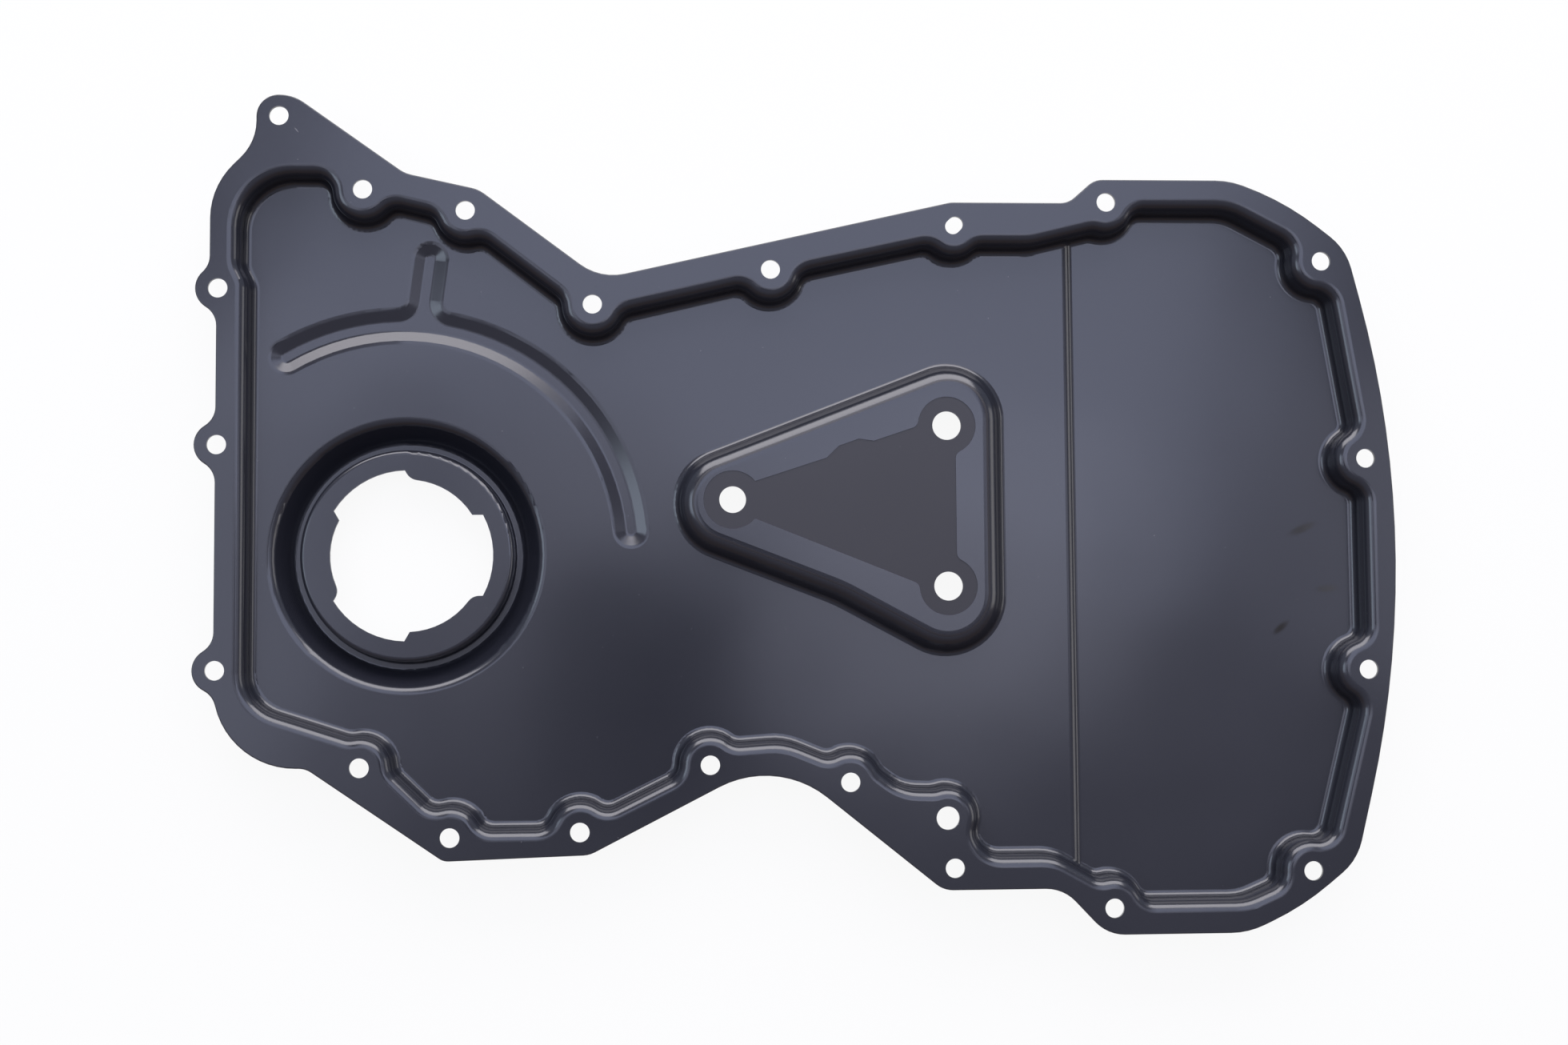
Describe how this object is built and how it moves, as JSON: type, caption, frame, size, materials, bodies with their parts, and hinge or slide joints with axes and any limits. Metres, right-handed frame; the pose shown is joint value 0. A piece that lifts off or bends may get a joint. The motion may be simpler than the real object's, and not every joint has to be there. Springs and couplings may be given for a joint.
{
  "type": "timing cover",
  "caption": "Flat pressed-steel timing cover: shallow pan with a scalloped bolting flange, a grooved crank seal opening, a triangular mounting pad and stiffening beads.",
  "frame": {"origin": "on the crank axis, in the plane of the sealing face", "axes": "+X along the cover from the crank opening to the wide end, +Y across it, +Z out of the sealing face towards the engine"},
  "size_m": [0.4392, 0.3074, 0.0229],
  "materials": {
    "cover": "satin black electro-coat"
  },
  "bodies": {
    "root": {"timing_cover": "cover"}
  },
  "joints": []
}
